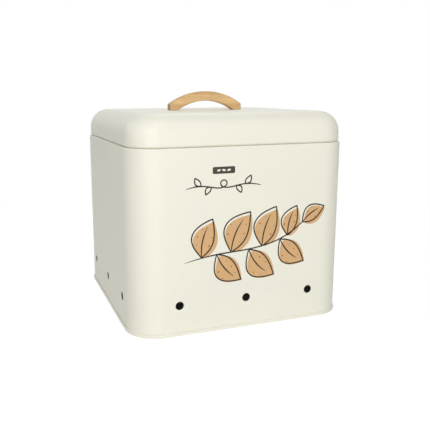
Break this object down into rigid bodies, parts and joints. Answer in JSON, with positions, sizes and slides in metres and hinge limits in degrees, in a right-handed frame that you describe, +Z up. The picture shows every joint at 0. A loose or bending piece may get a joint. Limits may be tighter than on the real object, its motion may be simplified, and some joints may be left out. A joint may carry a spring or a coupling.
{
  "type": "potato storage bin",
  "caption": "Square steel storage bin with rounded corners, air holes near the base, a seamed bottom and a lift-off domed lid with an arched wooden bar handle.",
  "frame": {"origin": "middle of the footprint, on the surface that the bin stands on", "axes": "+Z up, the way the lid lifts; the printed front faces -Y; the handle's bar runs along X"},
  "size_m": [0.2524, 0.2524, 0.2515],
  "materials": {
    "coated_steel": "cream powder coat, satin, with a very fine even texture",
    "bamboo": "light bamboo with fine straight grain along the bar, clear matt lacquer",
    "zinc_steel": "bright zinc-plated steel"
  },
  "bodies": {
    "bin": {"body_shell": "coated_steel", "base_plate": "coated_steel"},
    "lid": {"lid_shell": "coated_steel", "lid_neck": "coated_steel", "handle": "bamboo", "handle_screws": "zinc_steel", "handle_washers": "zinc_steel"}
  },
  "joints": [
    {"name": "lid_lift", "type": "slide", "parent": "bin", "child": "lid", "axis": [0, 0, 1], "range_m": [0, 0.2]}
  ]
}
